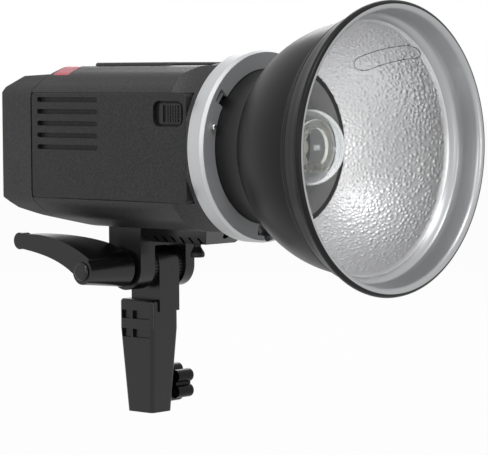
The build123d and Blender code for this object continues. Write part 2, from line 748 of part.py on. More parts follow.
with BuildPart() as glass_dome:
    with BuildSketch(axis_plane):
        with BuildLine():
            Line((dome_radius, foot_y - 0.1), (dome_radius, sphere_y))
            RadiusArc((dome_radius, sphere_y), (0, sphere_y - dome_radius), dome_radius)
            Line((0, sphere_y - dome_radius), (0, sphere_y - dome_radius + dome_wall))
            RadiusArc(
                (0, sphere_y - dome_radius + dome_wall), (dome_radius - dome_wall, sphere_y),
                -(dome_radius - dome_wall),
            )
            Line((dome_radius - dome_wall, sphere_y), (dome_radius - dome_wall, foot_y - 0.1))
            Line((dome_radius - dome_wall, foot_y - 0.1), (dome_radius, foot_y - 0.1))
        make_face()
    revolve(axis=lamp_axis)
save(glass_dome, "glass_dome")

with BuildPart() as flash_tube:
    with BuildLine(Plane(origin=(0, tube_y, head_axis_z), x_dir=(1, 0, 0), z_dir=(0, -1, 0))) as hoop:
        CenterArc((0, 0), tube_ring_radius, -60, 300)
    with BuildSketch(Plane(origin=hoop.line @ 0, z_dir=hoop.line % 0)):
        Circle(tube_radius)
    sweep()
    for end in (hoop.line @ 0, hoop.line @ 1):
        with Locations(end):
            Sphere(tube_radius)
        rod_y(tube_radius, (tube_y, foot_y - 4.2), end.X, end.Z)
save(flash_tube, "flash_tube")

with BuildPart() as tube_caps:
    for end in (hoop.line @ 0, hoop.line @ 1):
        rod_y(tube_radius + 0.8, (foot_y - 4.0, foot_y), end.X, end.Z)
save(tube_caps, "tube_caps")

with BuildPart() as modelling_lamp:
    rod_y(7.0, (mount_face_y - 20, foot_y), 0, head_axis_z)
    rod_y(9.0, (mount_face_y - 24, mount_face_y - 20), 0, head_axis_z)
    with Locations((0, mount_face_y - 24, head_axis_z)):
        Sphere(8.0)
save(modelling_lamp, "modelling_lamp")

# ---- reflector -----------------------------------------------------------------------------
throat_y = rim_y + bowl_start_depth + bowl_depth
shoulder_y = rim_y + 21.0
flare_y = rim_y + 17.4


def bowl_wall(grow):
    """Line of the bowl's wall from throat to lip, grown outwards by an amount; returns its ends."""
    rise = 0.62
    throat = (collar_radius + 1.3 + grow, throat_y)
    middle = ((bowl_radius + grow) * cos(rise), rim_y + bowl_start_depth + 82.0 * sin(rise))
    front = (bowl_radius + grow, rim_y + bowl_start_depth)
    shoulder = (80.6 + grow, shoulder_y)
    flare = (84.1 + grow, flare_y)
    lip = (lip_inner_radius + grow, rim_y + 2.0)
    ThreePointArc(throat, middle, front)
    Polyline(front, shoulder, flare, lip)
    return throat, lip


with BuildPart() as reflector_bowl:
    with BuildSketch(axis_plane):
        with BuildLine():
            outer_throat, outer_lip = bowl_wall(sheet)
            inner_throat, inner_lip = bowl_wall(0)
            Line(inner_throat, outer_throat)
            Polyline(outer_lip, (rim_radius - 1.6, rim_y + 4.6))
            ThreePointArc((rim_radius - 1.6, rim_y + 4.6), (rim_radius, rim_y + 2.3), (rim_radius - 1.6, rim_y))
            Polyline((rim_radius - 1.6, rim_y), (lip_inner_radius, rim_y + 1.0), inner_lip)
        make_face()
    revolve(axis=lamp_axis)
    slot_angle = 50.0
    slot_normal = Vector(cos(radians(slot_angle)), 0, sin(radians(slot_angle)))
    slot_plane = Plane(origin=(0, rim_y, head_axis_z), x_dir=(0, 1, 0), z_dir=slot_normal)
    with BuildSketch(slot_plane):
        with Locations((45.5, 0)):
            SlotOverall(47.0, 13.0)
    extrude(amount=100, mode=Mode.SUBTRACT)
save(reflector_bowl, "reflector_bowl")

with BuildPart() as slot_cover:
    with BuildSketch(axis_plane):
        with BuildLine():
            cover_outer = bowl_wall(sheet)
            cover_inner = bowl_wall(0)
            Line(cover_outer[0], cover_inner[0])
            Line(cover_outer[1], cover_inner[1])
        make_face()
    revolve(axis=lamp_axis)
    with BuildSketch(slot_plane):
        with Locations((45.5, 0)):
            SlotOverall(47.0 - 0.5, 13.0 - 0.5)
    extrude(amount=100, mode=Mode.INTERSECT)
save(slot_cover, "slot_cover")

with BuildPart() as reflector_collar:
    rod_y(collar_radius, (throat_y, tab_front_y + tab_thickness), 0, head_axis_z)
    rod_y(collar_radius + 1.3 + sheet, (throat_y, throat_y + 2.0), 0, head_axis_z)
    rod_y(
        collar_radius - collar_wall, (throat_y - 1, tab_front_y + tab_thickness + 1), 0, head_axis_z,
        Mode.SUBTRACT,
    )
    for angle in notch_angles:
        locked = angle + tab_offset_angle
        sector(
            collar_radius - collar_wall / 2, tab_radius, locked - tab_half_angle, locked + tab_half_angle,
            (tab_front_y, tab_front_y + tab_thickness),
        )
save(reflector_collar, "reflector_collar")

# ---- head bracket and tilt clamp -----------------------------------------------------------
cheek_y = (tilt_y - cheek_radius, tilt_y + cheek_radius)

with BuildPart() as head_bracket:
    with BuildSketch(Plane.XY.offset(bracket_top_z)):
        with Locations((0, (bracket_front_y + cheek_y[1]) / 2)):
            Rectangle(2 * bracket_half, cheek_y[1] - bracket_front_y)
    with BuildSketch(Plane.XY.offset(bracket_low_z)):
        with Locations((0, (bracket_front_y + 11 + cheek_y[1]) / 2)):
            Rectangle(28, cheek_y[1] - bracket_front_y - 11)
    loft()
    block((-spine_half, spine_half), (bracket_front_y + 2, cheek_y[1]), (bracket_top_z - 1, spine_top_z))
    for cheek_x in ((-cheek_outer_x, -near_cheek_inner_x), (far_cheek_inner_x, cheek_outer_x)):
        block(cheek_x, cheek_y, (tilt_z, bracket_top_z))
        rod_x(cheek_radius, cheek_x, tilt_y, tilt_z)
    for side in (-1, 1):
        for rib in range(6):
            with Locations((side * 17.0, cheek_y[0] - 5.5 - rib * 8.0, bracket_low_z + 2.2)):
                Box(9.0, 2.2, 6.0, rotation=(0, side * 46, 0), mode=Mode.SUBTRACT)
    rod_y(umbrella_radius, (-90, 40), 0, umbrella_axis_z, Mode.SUBTRACT)
    rod_x(tilt_bolt_radius + running_gap, (-40, 40), tilt_y, tilt_z, Mode.SUBTRACT)
    rod_x(8.2, (cheek_outer_x - 4.2, cheek_outer_x + 1), tilt_y, tilt_z, Mode.SUBTRACT)
    for screw_y in (-62.0, -28.0):
        for screw_x in (-10.0, 10.0):
            rod_z(2.2, (100, 140), screw_x, screw_y, Mode.SUBTRACT)
            rod_z(3.6, (100, bracket_low_z + 4), screw_x, screw_y, Mode.SUBTRACT)
    rod_z(2.5 + running_gap, (100, umbrella_axis_z), 0, -46.0, Mode.SUBTRACT)
save(head_bracket, "head_bracket")

with BuildPart() as bracket_screws:
    for screw_y in (-62.0, -28.0):
        for screw_x in (-10.0, 10.0):
            rod_z(2.0, (bracket_low_z + 4, spine_top_z - 4.2), screw_x, screw_y)
            rod_z(3.4, (bracket_low_z + 0.8, bracket_low_z + 4), screw_x, screw_y)
            rod_z(1.5, (bracket_low_z, bracket_low_z + 2.6), screw_x, screw_y, Mode.SUBTRACT)
save(bracket_screws, "bracket_screws")

with BuildPart() as tilt_bolt:
    rod_x(tilt_bolt_radius, (-cheek_outer_x + 0.2, cheek_outer_x - 4.2), tilt_y, tilt_z)
    with BuildSketch(Plane.YZ.offset(cheek_outer_x - 4.2)):
        with Locations((tilt_y, tilt_z)):
            RegularPolygon(7.8, 6)
    extrude(amount=5.0)
save(tilt_bolt, "tilt_bolt")

for label, disc_x in (
    ("near_tilt_disc", (-near_cheek_inner_x, tongue_low_x)),
    ("far_tilt_disc", (grip_half_x, far_cheek_inner_x)),
):
    with BuildPart() as tilt_disc:
        rod_x(tongue_radius - 0.6, disc_x, tilt_y, tilt_z)
        with Locations(Plane(origin=(sum(disc_x) / 2, tilt_y, tilt_z), z_dir=(1, 0, 0))):
            with PolarLocations(tongue_radius - 0.6, 36):
                Cylinder(0.45, disc_x[1] - disc_x[0], mode=Mode.SUBTRACT)
        rod_x(tilt_bolt_radius + running_gap, (-40, 40), tilt_y, tilt_z, Mode.SUBTRACT)
    save(tilt_disc, label)

# clamp lever: a tapered hub with a curved wing
lever_base_x = -(cheek_outer_x + 1.0)
lever_end_x = -66.0
hub_base_radius = 12.7
hub_end_radius = 8.8
spline_radius = 6.5
lever_pull = 4.0

with BuildPart() as lever:
    hub_length = lever_base_x - lever_end_x
    with Locations(Plane(origin=((lever_base_x + lever_end_x) / 2, tilt_y, tilt_z), z_dir=(1, 0, 0))):
        Cone(hub_end_radius, hub_base_radius, hub_length)
    fillet(lever.faces().sort_by(Axis.X)[-1].edges(), 2.5)
    with BuildSketch(Plane.YZ.offset(lever_end_x)):
        with BuildLine():
            Spline(
                (tilt_y - 6.8, tilt_z + 8.4), (tilt_y + 11, tilt_z + 16.6), (tilt_y + 31, tilt_z + 21.6),
                (tilt_y + 57, tilt_z + 22.4),
            )
            ThreePointArc(
                (tilt_y + 57, tilt_z + 22.4), (tilt_y + 66, tilt_z + 17.5), (tilt_y + 58, tilt_z + 12.6)
            )
            Spline(
                (tilt_y + 58, tilt_z + 12.6), (tilt_y + 39, tilt_z + 9.6), (tilt_y + 19, tilt_z + 3.6),
                (tilt_y + 3, tilt_z - 6.0),
            )
            Line((tilt_y + 3, tilt_z - 6.0), (tilt_y - 6.8, tilt_z + 8.4))
        make_face()
    extrude(amount=hub_length - 2)
    with BuildSketch(Plane.XY.offset(tilt_z - 30)):
        with BuildLine():
            Line((lever_end_x - 1, tilt_y - 20), (lever_base_x, tilt_y - 20))
            Line((lever_base_x, tilt_y - 20), (lever_base_x, tilt_y + 4))
            Spline(
                (lever_base_x, tilt_y + 4), (lever_end_x + 23, tilt_y + 30), (lever_end_x + 10, tilt_y + 50),
                (lever_end_x + 5, tilt_y + 70),
            )
            Line((lever_end_x + 5, tilt_y + 70), (lever_end_x - 1, tilt_y + 70))
            Line((lever_end_x - 1, tilt_y + 70), (lever_end_x - 1, tilt_y - 20))
        make_face()
    extrude(amount=80, mode=Mode.INTERSECT)
    rod_x(spline_radius + running_gap, (lever_base_x - 19, lever_base_x + 1), tilt_y, tilt_z, Mode.SUBTRACT)
    rod_x(3.0 + running_gap, (lever_end_x, lever_base_x), tilt_y, tilt_z, Mode.SUBTRACT)
    rod_x(6.4, (lever_end_x - 1, lever_base_x - 23), tilt_y, tilt_z, Mode.SUBTRACT)
save(lever, "lever")

with BuildPart() as lever_sleeve:
    rod_x(spline_radius, (lever_base_x - 14, lever_base_x + 0.9), tilt_y, tilt_z)
    rod_x(2.95, (lever_base_x - 34, lever_base_x - 13), tilt_y, tilt_z)
    rod_x(5.8, (lever_base_x - 34, lever_base_x - 31), tilt_y, tilt_z)
save(lever_sleeve, "lever_sleeve")

with BuildPart() as lever_spring:
    for turn in range(3):
        with Locations((lever_base_x - 27.8 - turn * 1.25, tilt_y, tilt_z)):
            Torus(4.6, 0.5, rotation=(0, 90, 0))
save(lever_spring, "lever_spring")

with BuildPart() as lever_cap:
    rod_x(6.3, (lever_end_x - 2.2, lever_end_x + 2.0), tilt_y, tilt_z)
    fillet(lever_cap.faces().sort_by(Axis.X)[0].edges(), 2.0)
save(lever_cap, "lever_cap")

# ---- grip on the stand ---------------------------------------------------------------------
with BuildPart() as grip:
    with BuildSketch(Plane.XY):
        RectangleRounded(2 * grip_foot_half_x, 2 * grip_foot_half_y, 2.5)
    with BuildSketch(Plane.XY.offset(grip_taper_z)):
        RectangleRounded(2 * grip_half_x, 2 * grip_half_y, 2.5)
    loft()
    with BuildSketch(Plane.XY.offset(grip_taper_z)):
        RectangleRounded(2 * grip_half_x, 2 * grip_half_y, 2.5)
    extrude(amount=grip_top_z - grip_taper_z)
    fillet(grip.faces().sort_by(Axis.Z)[-1].edges().sort_by(Axis.X)[0], 2.2)
    block((tongue_low_x, grip_half_x), (tilt_y - tongue_radius, tilt_y + tongue_radius), (grip_top_z - 8, tilt_z))
    rod_x(tongue_radius, (tongue_low_x, grip_half_x), tilt_y, tilt_z)
    rod_x(tilt_bolt_radius + running_gap, (-30, 30), tilt_y, tilt_z, Mode.SUBTRACT)
    for recess_z in (66.6, 54.0):
        for recess_y in ((-12.6, 3.2), (5.0, 13.4)):
            block((-20, -grip_half_x + 2.2), recess_y, (recess_z - 2.9, recess_z + 2.9), Mode.SUBTRACT)
    rod_z(socket_radius, (-1, socket_depth), 0, 0, Mode.SUBTRACT)
    rod_x(6.5, (9.0, 13.2), 0, knob_z)
    rod_z(socket_radius, (1, socket_depth), 0, 0, Mode.SUBTRACT)
    rod_x(screw_radius + running_gap, (0, 20), 0, knob_z, Mode.SUBTRACT)
save(grip, "grip")

with BuildPart() as stand_knob:
    with BuildSketch(Plane.YZ.offset(17.2)):
        with Locations((0, knob_z)):
            Circle(8.6)
        with Locations((0, knob_z)):
            with PolarLocations(9.0, 5):
                Circle(4.5)
    extrude(amount=15.0)
    fillet(stand_knob.faces().sort_by(Axis.X)[-1].edges(), 1.2)
    rod_x(7.0, (16.6, 17.2), 0, knob_z)
    rod_x(screw_radius - running_gap, (9.9, 17.0), 0, knob_z)
save(stand_knob, "stand_knob")

with BuildPart() as stand_pad:
    rod_x(screw_radius - running_gap, (8.2, 9.8), 0, knob_z)
save(stand_pad, "stand_pad")

umbrella_screw_y = -46.0
with BuildPart() as umbrella_knob:
    with BuildSketch(Plane(origin=(0, umbrella_screw_y, 0), x_dir=(1, 0, 0), z_dir=(0, -1, 0))):
        with BuildLine():
            Polyline(
                (0, 107.0), (4.2, 107.0), (4.8, 107.8), (4.8, 110.0), (2.9, 113.2), (2.45, 114.0),
                (2.45, 119.4), (0, 119.4), close=True,
            )
        make_face()
    revolve(axis=Axis((0, umbrella_screw_y, 0), (0, 0, 1)))
    with Locations((0, umbrella_screw_y, 108.9)):
        with PolarLocations(4.9, 18):
            Cylinder(0.35, 5, mode=Mode.SUBTRACT)
save(umbrella_knob, "umbrella_knob")

with BuildPart() as umbrella_pad:
    rod_z(2.4, (119.5, 120.4), 0, umbrella_screw_y)
save(umbrella_pad, "umbrella_pad")
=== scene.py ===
"""Looks of a battery monolight strobe with a bowl reflector on a tilting stand bracket."""

from math import asin, cos, pi, radians, sin, sqrt

import bpy
from mathutils import Matrix, Vector, noise


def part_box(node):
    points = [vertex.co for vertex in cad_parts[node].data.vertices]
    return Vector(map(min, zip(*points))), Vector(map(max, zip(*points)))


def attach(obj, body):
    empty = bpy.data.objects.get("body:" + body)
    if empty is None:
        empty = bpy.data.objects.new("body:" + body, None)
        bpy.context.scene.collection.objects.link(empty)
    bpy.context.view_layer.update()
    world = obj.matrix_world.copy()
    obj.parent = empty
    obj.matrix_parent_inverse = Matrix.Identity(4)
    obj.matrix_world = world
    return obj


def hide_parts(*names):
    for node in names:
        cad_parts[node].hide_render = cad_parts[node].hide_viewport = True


bl_info = {
    "name": "Monolight strobe",
    "version": (1, 0, 0),
    "blender": (4, 5, 0),
    "location": "View3D > Sidebar > Strobe",
    "description": "Gives the strobe's CAD frame its finishes and its hammered bowl",
    "category": "Object",
}

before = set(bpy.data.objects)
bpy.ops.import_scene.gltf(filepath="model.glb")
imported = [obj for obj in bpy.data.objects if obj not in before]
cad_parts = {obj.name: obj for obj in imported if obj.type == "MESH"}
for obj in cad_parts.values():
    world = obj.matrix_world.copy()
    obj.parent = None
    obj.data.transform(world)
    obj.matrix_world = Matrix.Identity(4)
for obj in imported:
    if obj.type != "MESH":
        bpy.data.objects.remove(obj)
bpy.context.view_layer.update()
MM = 0.001


# ---- places from the frame, and the reflector's form ---------------------------------------

RING_LOW, RING_HIGH = (Vector(corner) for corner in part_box("mount_ring"))
LAMP_Z = (RING_LOW.z + RING_HIGH.z) / 2
RIM_Y = Vector(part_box("reflector_bowl")[0]).y

# The hammered wall is a quarter ellipse about the lamp's axis, cut off by the throat.
ROUND_RADIUS = 79.3 * MM
ROUND_START = 24.0 * MM
ROUND_DEPTH = 82.0 * MM
ROUND_CUT = 62.0 * MM
THROAT_RADIUS = 52.0 * MM
SHEET = 1.3 * MM

# Section of the rolled rim, as radius and depth behind the rim in mm: the shoulder inside the
# bowl out to the bead's edge, then the way back along the outside.
RIM_BEAD = (
    (80.5, 21.2), (81.2, 20.0), (83.0, 18.2), (84.1, 17.4), (84.7, 16.4), (85.0, 12.0),
    (85.6, 7.0), (86.2, 3.4), (86.6, 2.0), (87.3, 1.0), (88.6, 0.3), (90.0, 0.0),
    (91.3, 0.35), (92.2, 1.3), (92.5, 2.5),
)
RIM_BACK = (
    (92.2, 3.7), (91.2, 4.6), (90.4, 5.2), (88.6, 8.0), (87.0, 12.5), (85.9, 16.4), (85.4, 17.2),
    (85.6, 17.9), (84.2, 19.6), (82.6, 21.8), (81.4, 23.2), (80.6, 24.0),
)
LACQUERED_BEAD = 4  # the bead's last points, which are black

AROUND = 840
INNER_ROWS = 140
OUTER_ROWS = 48

# The umbrella slot's cover: its place about the axis, half its width, and where it begins and ends.
SLOT_ANGLE = radians(50.0)
SLOT_HALF = 6.4 * MM
SLOT_NEAR = 22.4 * MM
SLOT_FAR = 68.6 * MM
SLOT_STEPS = 16
SLOT_SIDE_STEPS = 12


# ---- sizes and colours that a user would change -------------------------------------------


class StrobeSizes(bpy.types.PropertyGroup):
    """Sizes of the surface detail."""

    hammer_cell: bpy.props.FloatProperty(
        name="Hammer mark",
        description="Distance between neighbouring hammer marks in the bowl",
        default=2.7 * MM,
        subtype="DISTANCE",
        unit="LENGTH",
    )
    hammer_depth: bpy.props.FloatProperty(
        name="Hammer depth",
        description="Height of a hammer mark",
        default=0.42 * MM,
        subtype="DISTANCE",
        unit="LENGTH",
    )
    grain: bpy.props.FloatProperty(
        name="Plastic grain",
        description="Spacing of the moulded grain, drawn coarse enough to show",
        default=1.1 * MM,
        subtype="DISTANCE",
        unit="LENGTH",
    )


class StrobeColours(bpy.types.PropertyGroup):
    """Colours of the main finishes, as sRGB hex codes."""

    housing: bpy.props.StringProperty(
        name="Housing", description="Moulded ABS of the body, sRGB hex", default="#1E1E20"
    )
    battery: bpy.props.StringProperty(
        name="Battery", description="Moulded ABS of the battery, sRGB hex", default="#1C1C1E"
    )
    lacquer: bpy.props.StringProperty(
        name="Lacquer", description="Satin lacquer on the reflector, sRGB hex", default="#121213"
    )
    window: bpy.props.StringProperty(
        name="Window", description="Polycarbonate sensor window, sRGB hex", default="#E0485F"
    )


# ---- materials -----------------------------------------------------------------------------

# The grain's bumps are the real moulded texture; its colour is painted light: painted shade in the pits,
# painted highlight on the peaks.
GRAIN_PAINTED_SHADE, GRAIN_PAINTED_HIGHLIGHT = 0.45, 2.6  # share of a plastic's colour in the grain's pits and on its peaks


def linear(code):
    """Linear RGBA of an sRGB hex code."""
    values = [int(code[start : start + 2], 16) / 255 for start in (1, 3, 5)]
    return tuple(v / 12.92 if v <= 0.04045 else ((v + 0.055) / 1.055) ** 2.4 for v in values) + (1.0,)


def add(tree, kind, sockets=None, links=None, **settings):
    """Adds a node, sets its options and socket values, and links sockets into it."""
    made = tree.nodes.new(kind)
    for name, value in settings.items():
        setattr(made, name, value)
    for name, value in (sockets or {}).items():
        made.inputs[name].default_value = value
    for name, source in (links or {}).items():
        tree.links.new(source, made.inputs[name])
    return made


def surface(name, **sockets):
    """New material with one shader; returns the material, its tree and the shader."""
    made = bpy.data.materials.new(name)
    made.use_nodes = True
    tree = made.node_tree
    shader = tree.nodes["Principled BSDF"]
    for key, value in sockets.items():
        shader.inputs[key.replace("_", " ")].default_value = value
    return made, tree, shader


def place(tree):
    """Coordinates fixed to the piece, in metres."""
    return add(tree, "ShaderNodeTexCoord").outputs["Object"]


def moulded(name, code, roughness, grain, strength=0.35, shine=0.3):
    """Injection-moulded plastic: spark-eroded grain that breaks up the highlight, its colour carrying
    painted shade in the pits and a painted highlight on the peaks.
    """
    made, tree, shader = surface(name, IOR=1.5, Specular_IOR_Level=shine)
    where = place(tree)
    fine = add(tree, "ShaderNodeTexNoise", {"Scale": 1 / grain, "Detail": 3.0}, {"Vector": where})
    broad = add(tree, "ShaderNodeTexNoise", {"Scale": 22.0, "Detail": 2.0}, {"Vector": where})
    # Painted shade in the grain's pits and painted highlight on its peaks: the colour follows the same
    # noise as the bump's height.
    grain_shade_and_highlight = add(tree, "ShaderNodeValToRGB", links={"Fac": fine.outputs["Fac"]})
    base = linear(code)
    grain_shade_and_highlight.color_ramp.elements[0].position = 0.35
    grain_shade_and_highlight.color_ramp.elements[1].position = 0.78
    grain_shade_and_highlight.color_ramp.elements[0].color = tuple(c * GRAIN_PAINTED_SHADE for c in base[:3]) + (1.0,)
    grain_shade_and_highlight.color_ramp.elements[1].color = tuple(min(1, c * GRAIN_PAINTED_HIGHLIGHT) for c in base[:3]) + (1.0,)
    tree.links.new(grain_shade_and_highlight.outputs["Color"], shader.inputs["Base Color"])
    rough = add(
        tree, "ShaderNodeMapRange", {"To Min": roughness - 0.06, "To Max": roughness + 0.08},
        {"Value": broad.outputs["Fac"]},
    )
    tree.links.new(rough.outputs["Result"], shader.inputs["Roughness"])
    bump = add(
        tree, "ShaderNodeBump", {"Strength": strength, "Distance": 0.00018},
        {"Height": fine.outputs["Fac"]},
    )
    tree.links.new(bump.outputs["Normal"], shader.inputs["Normal"])
    return made


def turned(name, code, roughness, pitch, strength=0.25, tone=0.06):
    """Turned or spun metal: fine rings about the lamp's axis from the cutting tool."""
    made, tree, shader = surface(name, Metallic=1.0, Roughness=roughness)
    offset = add(
        tree, "ShaderNodeVectorMath", {1: (0, 0, -LAMP_Z)}, {0: place(tree)}, operation="ADD"
    )
    flat = add(
        tree, "ShaderNodeVectorMath", {1: (1, 0, 1)}, {0: offset.outputs[0]}, operation="MULTIPLY"
    )
    radius = add(tree, "ShaderNodeVectorMath", links={0: flat.outputs[0]}, operation="LENGTH")
    split = add(tree, "ShaderNodeSeparateXYZ", links={"Vector": offset.outputs[0]})
    along = add(
        tree, "ShaderNodeCombineXYZ", links={"X": radius.outputs["Value"], "Y": split.outputs["Y"]}
    )
    rings = add(
        tree, "ShaderNodeTexNoise", {"Scale": 1 / pitch, "Detail": 2.0}, {"Vector": along.outputs[0]}
    )
    ramp = add(tree, "ShaderNodeValToRGB", links={"Fac": rings.outputs["Fac"]})
    base = linear(code)
    ramp.color_ramp.elements[0].color = tuple(c * (1 - tone) for c in base[:3]) + (1.0,)
    ramp.color_ramp.elements[1].color = tuple(min(1, c * (1 + tone)) for c in base[:3]) + (1.0,)
    tree.links.new(ramp.outputs["Color"], shader.inputs["Base Color"])
    bump = add(
        tree, "ShaderNodeBump", {"Strength": strength, "Distance": 0.00004},
        {"Height": rings.outputs["Fac"]},
    )
    tree.links.new(bump.outputs["Normal"], shader.inputs["Normal"])
    return made


def coated(name, code, roughness, metallic=0.0, speck=0.0012, strength=0.15, coat=0.0, shine=0.5):
    """Paint, plating or lacquer: nearly even, with a faint orange peel and slight dullness."""
    made, tree, shader = surface(name, Metallic=metallic, Specular_IOR_Level=shine)
    if coat:
        shader.inputs["Coat Weight"].default_value = coat
        shader.inputs["Coat Roughness"].default_value = 0.25
    where = place(tree)
    peel = add(tree, "ShaderNodeTexNoise", {"Scale": 1 / speck, "Detail": 2.0}, {"Vector": where})
    wear = add(tree, "ShaderNodeTexNoise", {"Scale": 35.0, "Detail": 4.0}, {"Vector": where})
    ramp = add(tree, "ShaderNodeValToRGB", links={"Fac": wear.outputs["Fac"]})
    base = linear(code)
    ramp.color_ramp.elements[0].color = tuple(c * 0.92 for c in base[:3]) + (1.0,)
    ramp.color_ramp.elements[1].color = tuple(min(1, c * 1.08) for c in base[:3]) + (1.0,)
    tree.links.new(ramp.outputs["Color"], shader.inputs["Base Color"])
    rough = add(
        tree, "ShaderNodeMapRange", {"To Min": roughness - 0.04, "To Max": roughness + 0.06},
        {"Value": wear.outputs["Fac"]},
    )
    tree.links.new(rough.outputs["Result"], shader.inputs["Roughness"])
    bump = add(
        tree, "ShaderNodeBump", {"Strength": strength, "Distance": 0.00003},
        {"Height": peel.outputs["Fac"]},
    )
    tree.links.new(bump.outputs["Normal"], shader.inputs["Normal"])
    return made


def clear(name, code, roughness, ior, weight=1.0):
    """Glass or clear plastic, with the faint waviness of drawing or moulding."""
    made, tree, shader = surface(
        name, Roughness=roughness, IOR=ior, Transmission_Weight=weight, Base_Color=linear(code)
    )
    waves = add(tree, "ShaderNodeTexNoise", {"Scale": 60.0, "Detail": 1.0}, {"Vector": place(tree)})
    bump = add(
        tree, "ShaderNodeBump", {"Strength": 0.08, "Distance": 0.0002}, {"Height": waves.outputs["Fac"]}
    )
    tree.links.new(bump.outputs["Normal"], shader.inputs["Normal"])
    return made


def coat_nodes(finish, *names):
    """Gives CAD nodes one finish."""
    for name in names:
        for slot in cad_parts[name].material_slots:
            slot.link = "DATA"
            slot.material = finish


# ---- mesh helpers --------------------------------------------------------------------------


def mesh_piece(name, points, faces, body, finishes, smooth=True):
    """Makes a mesh object that rides on a body."""
    mesh = bpy.data.meshes.new(name)
    mesh.from_pydata(points, [], faces)
    mesh.validate()
    for finish in finishes:
        mesh.materials.append(finish)
    if smooth:
        mesh.shade_smooth()
    mesh.update()
    made = bpy.data.objects.new(name, mesh)
    bpy.context.scene.collection.objects.link(made)
    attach(made, body)
    return made


def in_head(radius, angle, y):
    """Point at a radius and angle about the lamp's axis."""
    return (radius * cos(angle), y, LAMP_Z + radius * sin(angle))


# ---- operators -----------------------------------------------------------------------------


class StrobePlastics(bpy.types.Operator):
    """Moulded plastics of the head, the battery, the controls and the handles"""

    bl_idname = "strobe.plastics"
    bl_label = "Plastics"

    def execute(self, context):
        sizes = context.scene.strobe_sizes
        colours = context.scene.strobe_colours
        coat_nodes(
            moulded("abs_spark_grained", colours.housing, 0.48, sizes.grain, 0.75, 0.5),
            "main_housing", "rear_cover", "top_cover",
        )
        coat_nodes(
            moulded("abs_battery_case", colours.battery, 0.50, sizes.grain, 0.75, 0.4),
            "battery_face", "battery_tray", "battery_latch",
        )
        coat_nodes(
            moulded("glass_filled_nylon", "#0E0E0F", 0.24, sizes.grain, 0.2, 0.42),
            "lever", "lever_cap",
        )
        coat_nodes(moulded("phenolic_star_knob", "#070708", 0.3, sizes.grain, 0.15, 0.16), "stand_knob")
        coat_nodes(
            moulded("silicone_keys", "#1A1A1C", 0.6, sizes.grain, 0.2),
            "dial", "set_button", "menu_button_1", "menu_button_2", "menu_button_3",
            "menu_button_4", "test_button", "power_rocker", "port_flap", "release_tab",
        )
        coat_nodes(
            moulded("black_nylon_inner", "#1B1B1D", 0.55, sizes.grain, 0.2),
            "dial_encoder", "rocker_frame", "port_block", "fan_frame", "fan_rotor",
            "screen_module", "lock_carrier",
        )
        coat_nodes(clear("polycarbonate_red", colours.window, 0.22, 1.58, 0.25), "sensor_window")
        coat_nodes(clear("acrylic_screen", "#101418", 0.06, 1.49, 0.1), "screen_window")
        return {"FINISHED"}


class StrobeMetals(bpy.types.Operator):
    """Metals of the mount, the bracket, the reflector's collar and the fasteners"""

    bl_idname = "strobe.metals"
    bl_label = "Metals"

    def execute(self, context):
        colours = context.scene.strobe_colours
        coat_nodes(turned("turned_aluminium", "#C6C7C8", 0.56, 0.9 * MM), "mount_ring")
        coat_nodes(
            coated("grey_powder_coat", "#A0A1A3", 0.5, metallic=0.1), "mount_plate", "front_bulkhead"
        )
        coat_nodes(
            coated("black_die_cast_enamel", "#101011", 0.26, speck=0.0009, strength=0.25, shine=0.42),
            "head_bracket", "grip",
        )
        coat_nodes(self.lined(colours.lacquer), "reflector_collar")
        coat_nodes(
            coated("zinc_plated_steel", "#8E8F90", 0.32, metallic=1.0),
            "case_screws", "bracket_screws", "tilt_bolt", "lever_sleeve", "lever_spring",
        )
        coat_nodes(coated("brass_end_cap", "#B98A4E", 0.3, metallic=1.0), "tube_caps")
        coat_nodes(
            coated("blackened_steel", "#2A2A2B", 0.4, metallic=0.6),
            "near_tilt_disc", "far_tilt_disc", "umbrella_knob",
        )
        coat_nodes(coated("chromed_steel", "#D9DADB", 0.12, metallic=1.0), "lock_pin")
        coat_nodes(
            coated("gold_plated_contact", "#D6B25A", 0.25, metallic=1.0),
            "battery_contacts", "stand_pad", "umbrella_pad",
        )
        coat_nodes(
            turned("extruded_aluminium", "#BFC0C2", 0.4, 1.2 * MM), "flash_capacitors", "heat_sink"
        )
        return {"FINISHED"}

    def lined(self, code):
        """Satin lacquer outside the collar, dull bare aluminium on the walls that face its axis."""
        made = coated("satin_black_lacquer_lined", code, 0.42, strength=0.1, shine=0.45)
        tree = made.node_tree
        shader = tree.nodes["Principled BSDF"]
        offset = add(
            tree, "ShaderNodeVectorMath", {1: (0, 0, -LAMP_Z)}, {0: place(tree)}, operation="ADD"
        )
        flat = add(
            tree, "ShaderNodeVectorMath", {1: (1, 0, 1)}, {0: offset.outputs[0]}, operation="MULTIPLY"
        )
        facing = add(tree, "ShaderNodeTexCoord").outputs["Normal"]
        outward = add(
            tree, "ShaderNodeVectorMath", links={0: flat.outputs[0], 1: facing}, operation="DOT_PRODUCT"
        )
        inward = -10 * MM
        inside = add(
            tree, "ShaderNodeMath", {1: inward}, {0: outward.outputs["Value"]}, operation="LESS_THAN"
        )
        half_metal = add(
            tree, "ShaderNodeMath", {1: 0.5}, {0: inside.outputs[0]}, operation="MULTIPLY"
        )
        black = shader.inputs["Base Color"].links[0].from_socket
        both = add(
            tree, "ShaderNodeMix", links={"Factor": inside.outputs[0]}, data_type="RGBA"
        )
        tree.links.new(black, both.inputs[6])
        both.inputs[7].default_value = linear("#DADBDC")
        tree.links.new(both.outputs[2], shader.inputs["Base Color"])
        tree.links.new(half_metal.outputs[0], shader.inputs["Metallic"])
        return made


